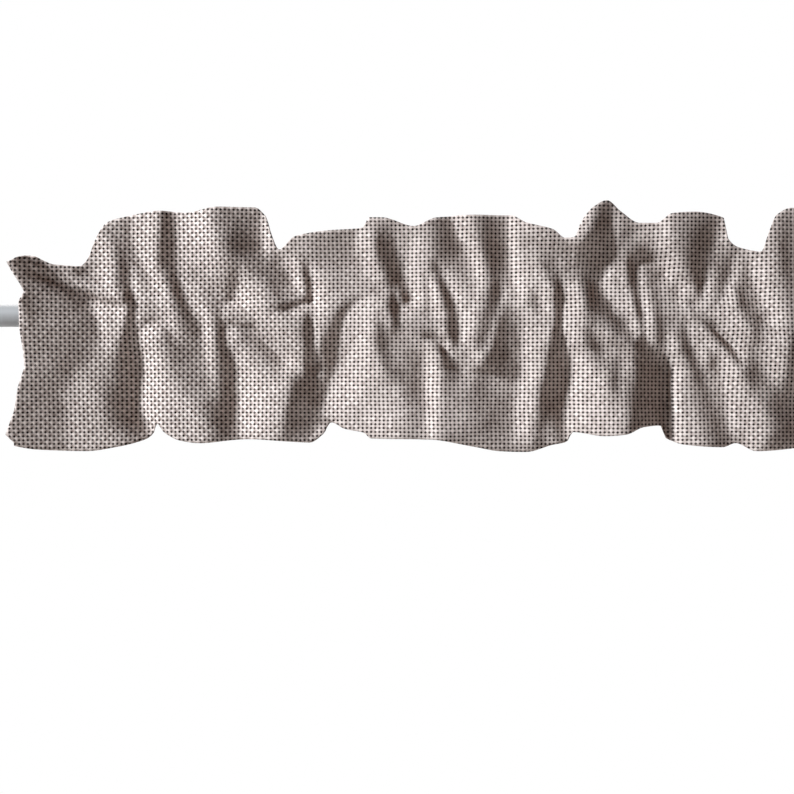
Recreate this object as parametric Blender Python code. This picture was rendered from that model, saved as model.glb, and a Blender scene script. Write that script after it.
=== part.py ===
import math

import bmesh
import bpy
import numpy as np

# Lengths are millimetres until MM turns them into metres.
MM = 0.001

# The rod: a plain round bar along +X, its left end face centred on the origin.
ROD_DIAMETER = 28.0
ROD_LENGTH = 1278.0
ROD_END_BEVEL = 0.8
ROD_SIDES = 56

# The cloth: frill above the rod, pocket round it, skirt below.
CLOTH_LEFT = 66.0
CLOTH_RIGHT = 1212.0
CLOTH_THICKNESS = 2.2
FRILL_THICKNESS = 3.0
SEAM_THICKNESS = 4.2
POCKET_TOP = 22.0
POCKET_BOTTOM = -42.0
POCKET_CLEARANCE = 1.6
POCKET_BACK_GATHER = 3.0

# The lie of the cloth before its folds: how far it stands in front of the rod's centre line along
# the skirt, how much further over the rod, within what height, and at the top of the frill.
SKIRT_FORWARD = 19.0
POCKET_BULGE = 8.0
POCKET_BULGE_HEIGHT = 46.0
FRILL_TIP_FORWARD = 4.0

# How finely the cloth is divided.
COLUMN_STEP = 10.6
LEAST_COLUMN_STEP = 3.6
STEEP_EDGE = 1.1
FRILL_ROWS = 5
SKIRT_ROWS = 6
POCKET_LEVELS = (22.0, 16.0, 9.0, 0.0, -11.0, -26.0, -42.0)

# How sharply a trough and a ridge fall off to the sides, and how finely a fold's line is divided.
TROUGH_SHARPNESS = 1.6
RIDGE_SHARPNESS = 2.0
FOLD_STEPS = 4

# The top edge: x, height.
TOP_EDGE = (
    (56, 62),
    (72, 66),
    (80, 71),
    (88, 73),
    (96, 72),
    (105, 67),
    (114, 63),
    (143, 61),
    (151, 68),
    (161, 94),
    (177, 117),
    (196, 123),
    (245, 131),
    (275, 129),
    (318, 136),
    (361, 136),
    (374, 125),
    (381, 103),
    (391, 82),
    (412, 99),
    (450, 106),
    (497, 110),
    (505, 123),
    (521, 123),
    (561, 112),
    (590, 123),
    (640, 126),
    (682, 126),
    (702, 116),
    (736, 107),
    (750, 96),
    (762, 97),
    (771, 117),
    (787, 136),
    (804, 144),
    (822, 130),
    (845, 116),
    (866, 116),
    (886, 128),
    (915, 130),
    (951, 123),
    (957, 97),
    (970, 86),
    (998, 80),
    (1007, 104),
    (1017, 126),
    (1036, 135),
    (1070, 132),
    (1110, 116),
    (1150, 124),
    (1190, 112),
    (1220, 92),
)

# The hem: x, height.
HEM = (
    (48, -156),
    (66, -164),
    (95, -169),
    (150, -171),
    (186, -166),
    (222, -156),
    (231, -149),
    (237, -136),
    (246, -147),
    (268, -158),
    (292, -161),
    (350, -156),
    (430, -160),
    (447, -149),
    (457, -135),
    (474, -143),
    (499, -148),
    (507, -155),
    (580, -156),
    (635, -165),
    (670, -171),
    (702, -172),
    (736, -163),
    (754, -159),
    (761, -147),
    (800, -152),
    (826, -150),
    (850, -141),
    (875, -139),
    (882, -155),
    (902, -163),
    (950, -166),
    (967, -161),
    (992, -171),
    (1036, -168),
    (1080, -160),
    (1120, -166),
    (1170, -158),
    (1224, -165),
)

# The two cut sides: height, how far the side lies beyond CLOTH_LEFT or CLOTH_RIGHT.
LEFT_SIDE = (
    (82, -3),
    (70, -9),
    (62, -7),
    (50, -1),
    (38, 7),
    (28, 12),
    (20, 8),
    (14, 5),
    (-15, 5),
    (-45, 9),
    (-66, 10),
    (-90, 2),
    (-120, -3),
    (-150, -14),
    (-160, -4),
)
RIGHT_SIDE = (
    (95, 4),
    (60, 0),
    (20, -4),
    (-30, 0),
    (-80, -3),
    (-130, 4),
    (-160, 9),
)
SIDE_REACH = 55.0

# The folds from left to right, each a run of points down or along the cloth: x, height, how far it
# stands forward (ridge, +) or lies back (trough, -), and how far it spreads to its left and right.
# Where a run goes to the right, these are below and above it.
FOLDS = (
    ((36, 84, 44, 20, 40), (46, 66, 42, 20, 44), (57, 48, 34, 18, 52), (66, 34, 23, 12, 62),
     (72, 20, 11, 10, 64), (76, 6, 4, 10, 50)),
    ((58, 80, 16, 18, 10), (82, 64, 15, 20, 10), (104, 49, 12, 20, 10), (124, 36, 8, 20, 10),
     (144, 25, 4, 14, 10)),
    ((118, -26, 5, 34, 40), (120, -60, 5, 34, 40), (122, -100, 4, 30, 32), (124, -150, 4, 30, 30)),
    ((78, 62, -3, 10, 10), (92, 53, -8, 10, 10), (109, 43, -10, 10, 10), (128, 32, -9, 10, 10),
     (146, 24, -7, 10, 10), (160, 18, -4, 10, 10)),
    ((50, 4, 14, 30, 70), (48, -18, 26, 30, 80), (42, -50, 33, 30, 76), (36, -100, 32, 30, 70),
     (28, -150, 28, 30, 68)),
    ((118, -105, -4, 18, 18), (124, -130, -6, 20, 20), (126, -165, -5, 22, 22)),
    ((168, 108, 4, 12, 10), (178, 90, 6, 14, 11), (185, 72, 8, 14, 12), (188, 52, 5, 12, 12)),
    ((203, 55, -3, 10, 10), (208, 30, -4, 10, 10), (210, 8, -5, 10, 10), (208, -14, -6, 10, 10),
     (206, -36, -11, 10, 12), (211, -58, -18, 13, 20), (213, -90, -22, 19, 22),
     (212, -118, -23, 22, 22), (221, -137, -26, 22, 12), (230, -149, -24, 24, 12)),
    ((260, 130, -5, 12, 24), (261, 104, -6, 12, 24), (261, 78, -7, 13, 24), (263, 58, -9, 11, 22),
     (267, 40, -10, 10, 18), (274, 22, -10, 10, 16), (285, 4, -10, 10, 14), (295, -14, -9, 11, 10),
     (299, -28, -4, 11, 10)),
    ((236, -21, 4, 12, 12), (243, -34, 8, 18, 19), (248, -56, 8, 22, 24), (250, -80, 6, 26, 32),
     (250, -104, 3, 20, 26)),
    ((294, -30, -4, 24, 10), (299, -54, -7, 30, 10), (302, -84, -5, 32, 10)),
    ((258, -85, 3, 16, 14), (278, -105, 7, 18, 18), (292, -122, 8, 20, 20), (305, -145, 6, 22, 18)),
    ((304, 136, 9, 18, 26), (308, 114, 11, 18, 26), (316, 92, 13, 20, 28), (328, 72, 9, 22, 24),
     (350, 55, 4, 18, 14)),
    ((374, 134, -8, 30, 10), (371, 112, -11, 30, 10), (371, 88, -11, 26, 10)),
    ((388, 78, -6, 18, 10), (400, 60, -12, 22, 10), (411, 42, -15, 26, 10), (418, 26, -10, 22, 10)),
    ((342, 52, -6, 12, 12), (338, 32, -11, 13, 16), (334, 15, -12, 12, 20), (326, -5, -10, 11, 18),
     (323, -22, -9, 10, 14), (325, -40, -10, 10, 14), (333, -56, -14, 12, 16),
     (336, -85, -17, 18, 22), (338, -110, -19, 20, 22), (338, -135, -16, 20, 22),
     (342, -160, -10, 18, 20)),
    ((340, -6, -3, 12, 10), (356, -20, -5, 12, 10), (380, -36, -6, 12, 10), (398, -50, -6, 12, 10),
     (413, -62, -4, 10, 10)),
    ((428, 58, -6, 10, 10), (432, 38, -13, 10, 10), (434, 18, -12, 10, 10), (434, 0, -9, 10, 10),
     (433, -20, -8, 10, 10), (433, -45, -8, 10, 10), (434, -62, -9, 10, 10)),
    ((412, 110, 4, 40, 16), (444, 114, 6, 44, 16), (474, 114, 5, 40, 16)),
    ((488, 108, -6, 48, 12), (487, 84, -9, 48, 12), (500, 62, -9, 48, 12), (512, 46, -6, 36, 10)),
    ((522, 24, 2, 14, 12), (513, 4, 6, 16, 13), (510, -20, 9, 18, 14), (511, -45, 9, 18, 14),
     (521, -66, 9, 14, 12), (534, -78, 3, 10, 14)),
    ((500, 23, -3, 10, 10), (486, 11, -6, 10, 10), (474, -2, -8, 10, 10), (467, -20, -10, 10, 14),
     (464, -40, -13, 14, 18), (461, -62, -16, 18, 22), (456, -84, -18, 20, 24),
     (448, -104, -18, 22, 24), (440, -126, -15, 22, 22), (437, -146, -10, 20, 20)),
    ((402, -72, 4, 20, 12), (404, -92, 8, 28, 12), (402, -112, 9, 30, 12), (396, -135, 8, 28, 14),
     (390, -158, 5, 24, 16)),
    ((524, -66, 2, 20, 20), (534, -92, 6, 34, 30), (542, -120, 8, 36, 30), (548, -150, 12, 34, 28)),
    ((576, -37, 4, 10, 10), (588, -42, 8, 12, 10), (597, -54, 12, 14, 12), (598, -65, 13, 16, 20),
     (597, -90, 13, 18, 30), (597, -120, 13, 20, 40), (597, -155, 16, 24, 46)),
    ((573, -50, -4, 14, 10), (577, -75, -7, 18, 10), (579, -100, -8, 20, 10),
     (578, -125, -6, 20, 10), (576, -147, -3, 16, 10)),
    ((538, 112, -2, 12, 12), (538, 94, -7, 12, 14), (541, 72, -10, 13, 16), (547, 52, -12, 14, 14),
     (554, 36, -11, 12, 12), (560, 20, -7, 10, 10)),
    ((611, 124, -10, 24, 10), (620, 100, -12, 27, 10), (630, 80, -12, 29, 10), (637, 62, -8, 26, 10)),
    ((592, 60, -5, 10, 10), (601, 42, -8, 10, 10), (611, 20, -10, 12, 10), (617, 0, -10, 14, 10),
     (619, -20, -8, 14, 10), (614, -42, -6, 10, 10), (606, -62, -5, 10, 10)),
    ((636, 124, 6, 14, 20), (640, 102, 8, 13, 20), (647, 78, 7, 12, 16), (652, 55, 5, 10, 12),
     (653, 35, 4, 10, 12), (647, 15, 4, 10, 14), (640, -10, 4, 10, 14), (638, -35, 4, 10, 12),
     (646, -55, 5, 10, 10)),
    ((682, 124, -8, 34, 10), (682, 100, -10, 34, 10), (683, 76, -12, 34, 10),
     (686, 52, -12, 31, 10), (690, 34, -9, 20, 10)),
    ((690, 5, -4, 12, 10), (694, -20, -7, 13, 10), (697, -45, -9, 16, 10), (697, -68, -9, 18, 10),
     (693, -90, -8, 22, 12), (688, -120, -8, 24, 14), (686, -145, -7, 24, 14)),
    ((604, -66, -5, 22, 10), (628, -72, -8, 26, 10), (650, -76, -8, 26, 10), (674, -80, -5, 22, 10)),
    ((704, 118, 5, 14, 14), (716, 112, 11, 18, 15), (738, 102, 13, 18, 16), (762, 96, 12, 14, 18),
     (785, 96, 8, 14, 16)),
    ((741, 62, -4, 10, 10), (747, 40, -6, 10, 10), (748, 15, -5, 10, 10), (747, -10, -5, 10, 10),
     (746, -30, -7, 10, 10), (751, -55, -13, 13, 10), (754, -80, -17, 20, 13),
     (753, -105, -19, 26, 14), (751, -130, -16, 26, 12), (753, -155, -9, 22, 12)),
    ((735, -22, 6, 12, 10), (731, -45, 4, 14, 10), (724, -75, 4, 14, 10), (718, -105, 6, 16, 10),
     (714, -130, 7, 16, 12), (712, -155, 5, 16, 14)),
    ((770, 42, 4, 12, 12), (773, 22, 8, 14, 14), (772, 0, 7, 14, 14), (772, -28, 8, 14, 16)),
    ((795, -60, 6, 24, 14), (800, -85, 10, 28, 16), (798, -115, 9, 30, 16), (796, -148, 9, 30, 18)),
    ((839, -46, 6, 12, 12), (841, -75, 10, 18, 16), (839, -100, 13, 24, 20),
     (836, -125, 15, 26, 24), (834, -152, 14, 26, 26)),
    ((856, -36, -8, 16, 10), (874, -50, -16, 26, 10), (883, -64, -26, 30, 10),
     (884, -90, -31, 30, 10), (884, -118, -31, 30, 10), (883, -148, -26, 30, 10)),
    ((790, 142, 8, 14, 18), (783, 118, 12, 14, 24), (776, 98, 8, 14, 24), (770, 80, 4, 12, 20)),
    ((810, 122, -4, 18, 10), (808, 95, -7, 24, 10), (806, 70, -10, 24, 10), (801, 46, -13, 20, 10),
     (802, 32, -13, 18, 10), (812, 14, -11, 14, 10), (826, -4, -10, 11, 10), (837, -19, -6, 10, 10)),
    ((770, 24, 3, 14, 16), (780, 4, 6, 14, 18), (795, -13, 8, 14, 16), (812, -27, 8, 12, 13),
     (828, -35, 6, 10, 10), (840, -42, 5, 12, 10)),
    ((846, 66, -4, 10, 10), (862, 72, -9, 10, 10), (878, 67, -13, 12, 10), (882, 53, -10, 12, 10)),
    ((884, 118, 6, 12, 30), (884, 100, 10, 12, 40), (885, 80, 11, 14, 44), (894, 58, 8, 16, 30)),
    ((916, 12, -6, 10, 10), (928, -2, -13, 10, 10), (942, -17, -15, 10, 10),
     (956, -31, -15, 10, 10), (967, -45, -13, 10, 10), (971, -60, -6, 10, 10)),
    ((914, 2, 3, 10, 10), (930, -16, 5, 10, 10), (948, -36, 6, 10, 10), (962, -54, 9, 12, 10),
     (970, -72, 10, 14, 12), (980, -95, 8, 16, 14), (995, -120, 8, 18, 18), (1003, -150, 8, 20, 20)),
    ((948, 118, -5, 24, 10), (938, 98, -7, 24, 24), (930, 78, -6, 20, 30), (928, 60, -4, 14, 26)),
    ((974, 82, -6, 36, 14), (984, 64, -11, 40, 10), (990, 44, -15, 34, 10), (996, 24, -15, 24, 10),
     (1002, 6, -12, 14, 10), (1004, -8, -6, 10, 10)),
    ((1018, 115, 3, 14, 14), (1016, 85, 5, 16, 14), (1018, 60, 6, 16, 16), (1022, 30, 4, 18, 16),
     (1030, 0, 4, 16, 16), (1032, -40, 10, 20, 20), (1028, -65, 6, 18, 18)),
    ((947, -58, -4, 10, 10), (951, -82, -6, 24, 10), (955, -108, -8, 30, 10),
     (958, -135, -8, 32, 10), (958, -150, -5, 28, 10)),
    ((901, 0, -8, 12, 10), (906, -18, -8, 13, 10), (912, -38, -5, 10, 10), (922, -60, -4, 12, 10),
     (932, -84, -4, 18, 10), (938, -110, -3, 20, 12)),
    ((914, -105, 3, 14, 16), (922, -130, 7, 20, 22), (928, -158, 11, 24, 24)),
    ((296, 95, 4, 20, 20), (320, 80, 5, 24, 24), (345, 62, 6, 18, 18)),
    ((782, -36, 5, 14, 14), (784, -60, 6, 16, 16), (796, -90, 4, 16, 16)),
    ((812, -60, 7, 14, 14), (816, -88, 10, 18, 18), (820, -120, 9, 22, 22), (822, -150, 11, 24, 24)),
    ((975, -58, 5, 16, 16), (988, -72, 8, 18, 18), (1004, -95, 7, 20, 20), (1014, -125, 6, 22, 22)),
    ((992, -22, 4, 14, 14), (1010, -32, 7, 16, 18), (1026, -48, 9, 20, 24), (1036, -72, 9, 22, 26)),
    ((525, -150, 6, 22, 26), (556, -150, 9, 24, 28), (586, -152, 9, 24, 28), (610, -150, 5, 22, 24)),
    ((618, -60, 3, 14, 14), (632, -80, 8, 18, 18), (636, -110, 4, 22, 22), (646, -150, 9, 26, 26),
     (672, -165, 10, 26, 26), (700, -165, 5, 20, 20)),
    ((296, 42, -6, 16, 16), (314, 26, -11, 18, 18), (336, 8, -12, 18, 18), (358, -14, -13, 20, 20),
     (380, -38, -12, 18, 18), (398, -60, -12, 14, 16)),
    ((498, 0, -3, 12, 14), (490, -18, -5, 16, 18), (482, -52, -5, 16, 20), (474, -98, -4, 18, 20)),
    ((520, 28, -6, 10, 10), (534, 24, -4, 10, 10), (548, 10, -8, 10, 10), (562, 30, -7, 10, 10),
     (556, 56, -4, 10, 10), (556, 92, -4, 10, 10)),
    ((820, 74, -6, 12, 14), (820, 50, -9, 14, 16), (824, 30, -10, 18, 14), (832, 0, -6, 16, 12)),
    ((838, 98, -5, 14, 16), (852, 88, -6, 16, 16), (862, 62, -12, 22, 24), (866, 34, -15, 24, 26),
     (872, 5, -9, 20, 22), (878, -28, -5, 14, 14)),
    ((900, 34, -9, 16, 18), (912, 14, -9, 14, 14), (920, -18, -7, 14, 14), (930, -40, -4, 12, 12)),
    ((680, 18, -7, 12, 12), (673, -18, -8, 12, 16), (674, -40, -9, 16, 16), (690, -62, -4, 14, 18),
     (706, -72, -5, 12, 16)),
    ((1062, 120, -5, 30, 12), (1060, 60, -6, 34, 12), (1064, 10, -6, 30, 10),
     (1068, -40, -6, 32, 10), (1070, -90, -14, 42, 14), (1074, -150, -12, 44, 18)),
    ((1098, 118, 7, 18, 16), (1092, 70, 9, 18, 16), (1096, 20, 6, 16, 14), (1104, -30, 6, 16, 14),
     (1108, -90, 9, 22, 18), (1112, -150, 9, 24, 20)),
    ((1128, 110, -6, 14, 12), (1126, 60, -10, 14, 12), (1136, 15, -9, 10, 10),
     (1142, -30, -9, 10, 10), (1148, -80, -13, 20, 12), (1150, -140, -12, 20, 12)),
    ((1160, 118, 6, 14, 12), (1162, 70, 7, 14, 14), (1168, 20, 5, 14, 12), (1172, -40, 6, 16, 16),
     (1180, -100, 8, 20, 18), (1182, -150, 8, 20, 18)),
    ((1192, 100, -5, 12, 12), (1194, 50, -7, 12, 10), (1196, 0, -5, 10, 10),
     (1206, -60, -6, 14, 14), (1212, -130, -6, 14, 14)),
)


def ease(low, high, value):
    t = np.clip((value - low) / (high - low), 0.0, 1.0)
    return t * t * (3.0 - 2.0 * t)


def along_table(table, at):
    table = np.array(table, float)
    order = np.argsort(table[:, 0])
    return np.interp(at, table[order, 0], table[order, 1])


def fold_line(fold):
    # A smooth line through the fold's points, with its height and spread carried along.
    points = np.array(fold, float)
    points = np.vstack((2.0 * points[0] - points[1], points, 2.0 * points[-1] - points[-2]))
    t = (np.arange(FOLD_STEPS) / FOLD_STEPS)[:, None]
    stretches = []
    for a, b, c, d in zip(points, points[1:], points[2:], points[3:]):
        stretches.append(b + 0.5 * (c - a) * t + (a - 2.5 * b + 2.0 * c - 0.5 * d) * t ** 2
                         + 0.5 * (3.0 * b - a - 3.0 * c + d) * t ** 3)
    return np.vstack(stretches + [points[-2:-1]])


def fold_forward(fold, x, height):
    # The fold fades with the distance from its line, at its own rate on either side.
    line = fold_line(fold)
    ridge = sum(row[2] for row in fold) > 0.0
    sharpness = RIDGE_SHARPNESS if ridge else TROUGH_SHARPNESS
    strongest = np.zeros_like(x)
    for start, stop in zip(line, line[1:]):
        step_x, step_z = stop[0] - start[0], stop[1] - start[1]
        length = math.hypot(step_x, step_z)
        share = ((x - start[0]) * step_x + (height - start[1]) * step_z) / length ** 2
        share = np.clip(share, 0.0, 1.0)
        at_x, at_z, size, left, right = (start[k] + (stop[k] - start[k]) * share for k in range(5))
        across = ((height - at_z) * step_x - (x - at_x) * step_z) / length
        along = ((x - at_x) * step_x + (height - at_z) * step_z) / length
        away = np.hypot(across / np.where(across < 0.0, left, right), 2.0 * along / (left + right))
        strongest = np.maximum(strongest, np.abs(size) * np.exp(-away ** sharpness))
    return strongest if ridge else -strongest


def cloth_forward(x, height):
    # How far the front of the cloth stands towards the viewer at x and height.
    forward = SKIRT_FORWARD + FRILL_TIP_FORWARD * ease(45.0, 120.0, height)
    forward += POCKET_BULGE * np.exp(-(np.abs(height - 3.0) / POCKET_BULGE_HEIGHT) ** 2.2)
    for fold in FOLDS:
        forward += fold_forward(fold, x, height)
    # Round the rod the cloth never comes closer than its own thickness and the clearance.
    reach = ROD_DIAMETER / 2.0 + POCKET_CLEARANCE + CLOTH_THICKNESS
    nearest = np.sqrt(np.clip(reach ** 2 - height ** 2, 0.0, None))
    spare = forward - nearest
    held_off = nearest + 0.5 * (spare + np.sqrt(spare ** 2 + 4.0))
    return np.where(np.abs(height) < reach, held_off, forward)


def column_positions():
    # Even columns, and one at each end of every steep stretch of the top edge and the hem.
    wanted = []
    for edge in (TOP_EDGE, HEM):
        for (x0, z0), (x1, z1) in zip(edge, edge[1:]):
            if abs(z1 - z0) > STEEP_EDGE * (x1 - x0):
                wanted += [x0, x1]
    kept = [CLOTH_LEFT]
    for place in sorted(wanted):
        if place - kept[-1] >= LEAST_COLUMN_STEP and CLOTH_RIGHT - place >= LEAST_COLUMN_STEP:
            kept.append(place)
    kept.append(CLOTH_RIGHT)
    columns = [CLOTH_LEFT]
    for start, stop in zip(kept, kept[1:]):
        steps = max(1, round((stop - start) / COLUMN_STEP))
        columns += [start + (stop - start) * k / steps for k in range(1, steps + 1)]
    return np.array(columns)


def grid_heights(columns):
    # Rows of the frill follow the top edge, rows of the skirt follow the hem.
    top = along_table(TOP_EDGE, columns)
    hem = along_table(HEM, columns)
    heights = []
    for k in range(FRILL_ROWS):
        heights.append(top + (POCKET_TOP - top) * k / FRILL_ROWS)
    for level in POCKET_LEVELS:
        heights.append(np.full_like(columns, level))
    for k in range(1, SKIRT_ROWS + 1):
        heights.append(POCKET_BOTTOM + (hem - POCKET_BOTTOM) * k / SKIRT_ROWS)
    return np.array(heights)


def surface_normals(points):
    along = np.gradient(points, axis=1)
    down = np.gradient(points, axis=0)
    normals = np.cross(along, down)
    normals /= np.linalg.norm(normals, axis=2, keepdims=True)
    return normals


def pocket_back(columns, height, upper, lower):
    # The back of the pocket passes behind the rod and meets the front at both seams.
    reach = ROD_DIAMETER / 2.0 + POCKET_CLEARANCE + CLOTH_THICKNESS
    gather = 1.0 + 0.6 * np.sin(columns / 7.3) + 0.4 * np.sin(columns / 4.1 + 1.7)
    deepest = -(reach + POCKET_BACK_GATHER * gather)
    if height >= 0.0:
        share = height / POCKET_TOP
        seam = upper
    else:
        share = height / POCKET_BOTTOM
        seam = lower
    behind = deepest * (1.0 - share ** 2) ** 0.55 + seam * share ** 2
    return np.minimum(behind, -math.sqrt(max(reach ** 2 - height ** 2, 0.0)))


def cloth_mesh():
    columns = column_positions()
    heights = grid_heights(columns)
    x = np.tile(columns, (len(heights), 1))
    from_left = np.exp(-((columns - CLOTH_LEFT) / SIDE_REACH) ** 2)
    from_right = np.exp(-((CLOTH_RIGHT - columns) / SIDE_REACH) ** 2)
    x += from_left[None] * along_table(LEFT_SIDE, heights)
    x += from_right[None] * along_table(RIGHT_SIDE, heights)
    forward = cloth_forward(x, heights)
    front = np.stack((x, -forward, heights), axis=2)
    normals = surface_normals(front)
    if normals[..., 1].mean() > 0.0:
        normals = -normals

    last = len(heights) - 1
    seam_top = FRILL_ROWS
    seam_low = FRILL_ROWS + len(POCKET_LEVELS) - 1
    thickness = np.full(len(heights), CLOTH_THICKNESS)
    thickness[:seam_top] = FRILL_THICKNESS
    thickness[seam_top] = SEAM_THICKNESS
    thickness[seam_low] = SEAM_THICKNESS

    back = front - normals * thickness[:, None, None]
    inner_front = front - normals * CLOTH_THICKNESS
    inner_back = back.copy()
    upper = -back[seam_top, :, 1]
    lower = -back[seam_low, :, 1]
    for row in range(seam_top + 1, seam_low):
        level = POCKET_LEVELS[row - seam_top]
        behind = pocket_back(columns, level, upper, lower)
        back[row] = np.stack((x[row], -behind, heights[row]), axis=1)
    back_normals = surface_normals(back)
    if back_normals[..., 1].mean() < 0.0:
        back_normals = -back_normals
    for row in range(seam_top + 1, seam_low):
        inner_back[row] = back[row] - back_normals[row] * CLOTH_THICKNESS
    # At each seam the two faces of the pocket meet inside the thickness of the cloth.
    for row, step in ((seam_top, -2.2), (seam_low, 2.4)):
        meeting = (front[row] + back[row]) / 2.0
        meeting[:, 2] += step
        inner_front[row] = meeting
        inner_back[row] = meeting

    mesh = bmesh.new()
    front_at = [[mesh.verts.new(point * MM) for point in row] for row in front]
    back_at = [[mesh.verts.new(point * MM) for point in row] for row in back]
    inner_front_at = {}
    inner_back_at = {}
    for row in range(seam_top, seam_low + 1):
        inner_front_at[row] = [mesh.verts.new(point * MM) for point in inner_front[row]]
        if row in (seam_top, seam_low):
            inner_back_at[row] = inner_front_at[row]
        else:
            inner_back_at[row] = [mesh.verts.new(point * MM) for point in inner_back[row]]

    def face(a, b, c, d):
        mesh.faces.new((a, b, c, d))

    end = len(columns) - 1
    for i in range(end):
        for r in range(last):
            face(front_at[r][i], front_at[r + 1][i], front_at[r + 1][i + 1], front_at[r][i + 1])
            face(back_at[r][i], back_at[r][i + 1], back_at[r + 1][i + 1], back_at[r + 1][i])
        for r in range(seam_top, seam_low):
            a, b = inner_front_at[r], inner_front_at[r + 1]
            face(a[i], a[i + 1], b[i + 1], b[i])
            a, b = inner_back_at[r], inner_back_at[r + 1]
            face(a[i], b[i], b[i + 1], a[i + 1])
        face(front_at[0][i], front_at[0][i + 1], back_at[0][i + 1], back_at[0][i])
        face(front_at[last][i], back_at[last][i], back_at[last][i + 1], front_at[last][i + 1])
    for i, turned in ((0, False), (end, True)):
        strips = []
        for r in range(last):
            if seam_top <= r < seam_low:
                strips.append((front_at[r][i], inner_front_at[r][i],
                               inner_front_at[r + 1][i], front_at[r + 1][i]))
                strips.append((inner_back_at[r][i], back_at[r][i],
                               back_at[r + 1][i], inner_back_at[r + 1][i]))
            else:
                strips.append((front_at[r][i], back_at[r][i], back_at[r + 1][i], front_at[r + 1][i]))
        for seam in (seam_top, seam_low):
            ring = (front_at[seam][i], inner_front_at[seam][i], back_at[seam][i])
            mesh.faces.new(ring if (seam == seam_low) != turned else ring[::-1])
        for strip in strips:
            mesh.faces.new(strip[::-1] if turned else strip)
    bmesh.ops.triangulate(mesh, faces=mesh.faces[:], quad_method="SHORT_EDGE")
    bmesh.ops.recalc_face_normals(mesh, faces=mesh.faces[:])
    return mesh


def rod_mesh():
    mesh = bmesh.new()
    radius = ROD_DIAMETER / 2.0
    rings = []
    stations = ((0.0, radius - ROD_END_BEVEL), (ROD_END_BEVEL, radius),
                (ROD_LENGTH - ROD_END_BEVEL, radius), (ROD_LENGTH, radius - ROD_END_BEVEL))
    for x, ring_radius in stations:
        ring = []
        for k in range(ROD_SIDES):
            angle = 2.0 * math.pi * k / ROD_SIDES
            point = (x, ring_radius * math.cos(angle), ring_radius * math.sin(angle))
            ring.append(mesh.verts.new([value * MM for value in point]))
        rings.append(ring)
    for first, second in zip(rings, rings[1:]):
        for k in range(ROD_SIDES):
            n = (k + 1) % ROD_SIDES
            side = mesh.faces.new((first[k], first[n], second[n], second[k]))
            side.smooth = True
    mesh.faces.new(rings[0])
    mesh.faces.new(rings[-1])
    bmesh.ops.recalc_face_normals(mesh, faces=mesh.faces[:])
    return mesh


def material(name, colour, roughness, metallic):
    made = bpy.data.materials.new(name)
    made.use_nodes = True
    shader = made.node_tree.nodes["Principled BSDF"]
    shader.inputs["Base Color"].default_value = (*colour, 1.0)
    shader.inputs["Roughness"].default_value = roughness
    shader.inputs["Metallic"].default_value = metallic
    return made


def add_part(name, mesh, made_of, smooth):
    data = bpy.data.meshes.new(name)
    mesh.to_mesh(data)
    mesh.free()
    if smooth:
        for polygon in data.polygons:
            polygon.use_smooth = True
    data.materials.append(made_of)
    part = bpy.data.objects.new(name, data)
    bpy.context.collection.objects.link(part)
    return part


for leftover in list(bpy.data.objects):
    bpy.data.objects.remove(leftover)

weave = material("coarse weave cloth", (0.34, 0.28, 0.25), 0.92, 0.0)
painted = material("painted metal rod", (0.45, 0.45, 0.45), 0.4, 0.0)
add_part("valance", cloth_mesh(), weave, True)
add_part("rod", rod_mesh(), painted, False)
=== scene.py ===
import math

import bpy
import numpy as np
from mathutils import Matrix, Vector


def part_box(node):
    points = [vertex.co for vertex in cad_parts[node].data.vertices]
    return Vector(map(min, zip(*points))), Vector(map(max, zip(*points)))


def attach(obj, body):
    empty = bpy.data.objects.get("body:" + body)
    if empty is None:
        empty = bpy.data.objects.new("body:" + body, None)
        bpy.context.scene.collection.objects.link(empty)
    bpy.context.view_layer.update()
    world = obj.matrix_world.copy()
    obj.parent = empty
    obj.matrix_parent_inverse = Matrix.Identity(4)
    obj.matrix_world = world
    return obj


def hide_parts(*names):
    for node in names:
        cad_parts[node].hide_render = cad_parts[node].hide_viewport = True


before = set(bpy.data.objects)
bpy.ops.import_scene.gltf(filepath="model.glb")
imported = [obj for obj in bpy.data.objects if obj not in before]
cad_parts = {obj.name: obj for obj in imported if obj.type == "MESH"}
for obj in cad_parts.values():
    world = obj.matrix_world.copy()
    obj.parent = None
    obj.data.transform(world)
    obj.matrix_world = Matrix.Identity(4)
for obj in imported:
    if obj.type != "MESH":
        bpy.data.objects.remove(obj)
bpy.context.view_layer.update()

mm = 0.001  # sizes below are in millimetres, in the frame's own axes

rodLow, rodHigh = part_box("rod")
rodRadius = (rodHigh[2] - rodLow[2]) / 2 / mm

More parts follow.
